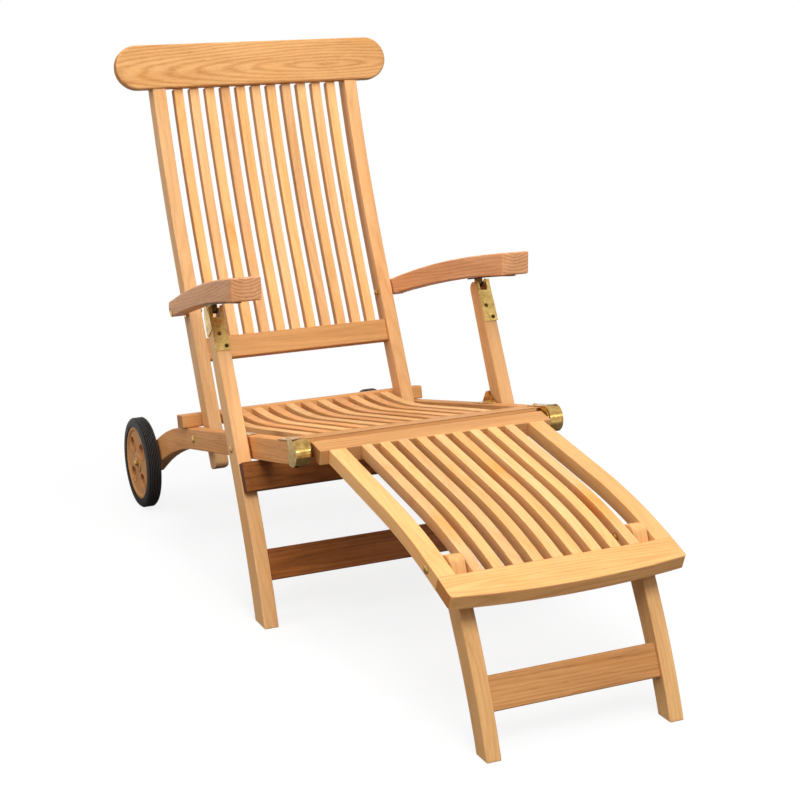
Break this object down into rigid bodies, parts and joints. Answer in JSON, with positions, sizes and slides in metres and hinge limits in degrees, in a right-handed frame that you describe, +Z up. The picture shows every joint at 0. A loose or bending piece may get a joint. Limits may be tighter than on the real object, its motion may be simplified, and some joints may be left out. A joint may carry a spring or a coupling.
{
  "type": "steamer deck chair",
  "caption": "Folding teak steamer chair with a slatted reclining back, wide headboard, hooked arms, a slatted leg rest on legs of its own, and two rear wheels.",
  "frame": {"origin": "on the floor, under the middle of the chair's bounding box", "axes": "+Z up, -Y towards the foot end, +Y towards the wheels, +X across towards the sitter's left"},
  "size_m": [0.602, 1.5442, 0.997],
  "materials": {
    "light_teak": "smooth sanded light honey teak",
    "warm_teak": "smooth sanded warm brown teak",
    "brass": "polished, slightly dulled brass",
    "steel": "plain steel",
    "rubber": "matt black rubber with ribs round the tread"
  },
  "bodies": {
    "seat_frame": {"seat_rail_left": "warm_teak", "seat_rail_right": "warm_teak", "seat_front_rail": "light_teak", "seat_rear_rail": "light_teak", "seat_slat_1": "light_teak", "seat_slat_2": "warm_teak", "seat_slat_3": "light_teak", "seat_slat_4": "warm_teak", "seat_slat_5": "light_teak", "seat_slat_6": "warm_teak", "seat_slat_7": "light_teak", "seat_slat_8": "warm_teak", "seat_slat_9": "light_teak", "seat_slat_10": "warm_teak", "seat_slat_11": "light_teak", "hinge_cap_left": "brass", "hinge_cap_right": "brass", "hinge_pin_left": "brass", "hinge_pin_right": "brass", "leg_stop_left": "brass", "leg_stop_right": "brass", "wheel_axle": "steel", "back_pivot_bolt_left": "brass", "back_pivot_bolt_right": "brass", "leg_pivot_bolt_left": "brass", "leg_pivot_bolt_right": "brass"},
    "back": {"back_stile_left": "light_teak", "back_stile_right": "light_teak", "headboard": "light_teak", "back_slat_frame": "warm_teak", "arm_pivot_bolt_left": "brass", "arm_pivot_bolt_right": "brass"},
    "arm_left": {"arm_left": "light_teak", "arm_catch_left": "brass"},
    "arm_right": {"arm_right": "light_teak", "arm_catch_right": "brass"},
    "front_legs": {"front_leg_left": "light_teak", "front_leg_right": "light_teak", "leg_apron": "warm_teak", "leg_stretcher": "warm_teak", "leg_bracket_left": "brass", "leg_bracket_right": "brass"},
    "leg_rest": {"leg_rest_slat_frame": "light_teak", "leg_rest_rail_left": "warm_teak", "leg_rest_rail_right": "warm_teak", "leg_rest_end_board": "light_teak", "rest_leg_bolt_left": "brass", "rest_leg_bolt_right": "brass"},
    "rest_legs": {"rest_leg_left": "light_teak", "rest_leg_right": "light_teak", "rest_leg_stretcher": "warm_teak"},
    "wheel_left": {"tyre_left": "rubber", "wheel_disc_left": "warm_teak"},
    "wheel_right": {"tyre_right": "rubber", "wheel_disc_right": "warm_teak"}
  },
  "joints": [
    {"name": "back_fold", "type": "hinge", "parent": "seat_frame", "child": "back", "pos_m": [0, 0.35147, 0.23094], "axis": [1, 0, 0], "range_deg": [0, 80]},
    {"name": "arm_left_fold", "type": "hinge", "parent": "back", "child": "arm_left", "pos_m": [0, 0.466, 0.46891], "axis": [1, 0, 0], "range_deg": [-80, 0]},
    {"name": "arm_right_fold", "type": "hinge", "parent": "back", "child": "arm_right", "pos_m": [0, 0.466, 0.46891], "axis": [1, 0, 0], "range_deg": [-80, 0]},
    {"name": "front_legs_fold", "type": "hinge", "parent": "seat_frame", "child": "front_legs", "pos_m": [0, 0.02544, 0.30017], "axis": [1, 0, 0], "range_deg": [0, 80]},
    {"name": "leg_rest_fold", "type": "hinge", "parent": "seat_frame", "child": "leg_rest", "pos_m": [0, -0.20453, 0.349], "axis": [1, 0, 0], "range_deg": [0, 90]},
    {"name": "rest_legs_fold", "type": "hinge", "parent": "leg_rest", "child": "rest_legs", "pos_m": [0, -0.63299, 0.27117], "axis": [1, 0, 0], "range_deg": [0, 120]},
    {"name": "wheel_left_spin", "type": "hinge", "parent": "seat_frame", "child": "wheel_left", "pos_m": [0, 0.67347, 0.0986], "axis": [1, 0, 0], "continuous": true},
    {"name": "wheel_right_spin", "type": "hinge", "parent": "seat_frame", "child": "wheel_right", "pos_m": [0, 0.67347, 0.0986], "axis": [1, 0, 0], "continuous": true}
  ],
  "couplings": [
    {"joint": "arm_left_fold", "follows": "back_fold", "ratio": -1},
    {"joint": "arm_right_fold", "follows": "back_fold", "ratio": -1},
    {"joint": "front_legs_fold", "follows": "back_fold", "ratio": 1}
  ]
}
